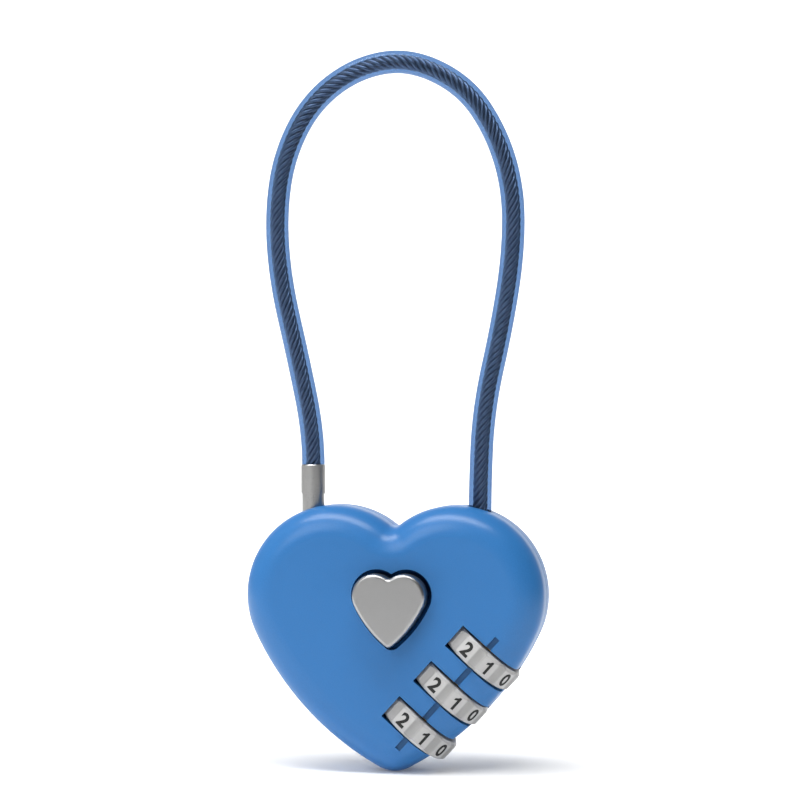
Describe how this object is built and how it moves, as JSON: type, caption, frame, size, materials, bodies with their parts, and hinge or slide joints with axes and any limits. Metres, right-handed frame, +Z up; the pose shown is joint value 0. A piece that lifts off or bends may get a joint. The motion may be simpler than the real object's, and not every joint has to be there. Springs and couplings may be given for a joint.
{
  "type": "luggage cable padlock",
  "caption": "Heart-shaped luggage combination padlock with a flexible cable shackle, number dials and a heart-shaped release button.",
  "frame": {"origin": "below the heart's lower tip, centred in width and in depth between the push button's face and the flat back, at the level of the tip", "axes": "+Z up from the tip to the cable loop; the dials and the button face -Y; +X is the body's width, towards the dials' edge"},
  "size_m": [0.038, 0.0144, 0.0913],
  "materials": {
    "blue_shell": "glossy blue lacquer",
    "satin_silver": "satin plated",
    "dial_plastic": "light grey, moulded, with black digits",
    "cam_brass": "plain turned",
    "steel": "plain",
    "spring_steel": "spring wire and strip",
    "ferrule": "satin plated",
    "clear_blue": "translucent blue coating",
    "rope": "twisted wire"
  },
  "bodies": {
    "case": {"front_case": "blue_shell", "back_case": "blue_shell", "case_screws": "steel", "button_spring": "spring_steel", "slide_spring": "spring_steel", "latch_spring": "spring_steel", "dial_shaft": "steel", "cam_spacers": "cam_brass", "reset_spring": "spring_steel", "detent_spring": "spring_steel", "cable_anchor": "ferrule", "cable_sleeve": "clear_blue", "wire_rope": "rope"},
    "button": {"heart_button": "satin_silver"},
    "slide": {"locking_slide": "steel"},
    "dial_1": {"dial_1": "dial_plastic", "cam_1": "cam_brass"},
    "dial_2": {"dial_2": "dial_plastic", "cam_2": "cam_brass"},
    "dial_3": {"dial_3": "dial_plastic", "cam_3": "cam_brass"},
    "plug": {"cable_plug": "ferrule"}
  },
  "joints": [
    {"name": "button_press", "type": "slide", "parent": "case", "child": "button", "axis": [0, -1, 0], "range_m": [-0.0016, 0], "stiffness_N_per_m": 400, "springref_m": 0.001, "deforming": ["button_spring", "slide_spring", "latch_spring"]},
    {"name": "slide_shift", "type": "slide", "parent": "case", "child": "slide", "axis": [0.7431, 0, -0.6691], "range_m": [0, 0.0016], "deforming": ["slide_spring", "latch_spring"]},
    {"name": "dial_1_spin", "type": "hinge", "parent": "case", "child": "dial_1", "pos_m": [0.01094, -0.0005, 0.01494], "axis": [0.6691, 0, 0.7431], "continuous": true},
    {"name": "dial_2_spin", "type": "hinge", "parent": "case", "child": "dial_2", "pos_m": [0.00692, -0.0005, 0.01048], "axis": [0.6691, 0, 0.7431], "continuous": true},
    {"name": "dial_3_spin", "type": "hinge", "parent": "case", "child": "dial_3", "pos_m": [0.00291, -0.0005, 0.00602], "axis": [0.6691, 0, 0.7431], "continuous": true},
    {"name": "plug_pull", "type": "slide", "parent": "case", "child": "plug", "axis": [0, 0, 1], "range_m": [0, 0.012], "deforming": ["cable_sleeve", "wire_rope", "latch_spring"]}
  ],
  "couplings": [
    {"joint": "slide_shift", "follows": "button_press", "ratio": -1}
  ]
}
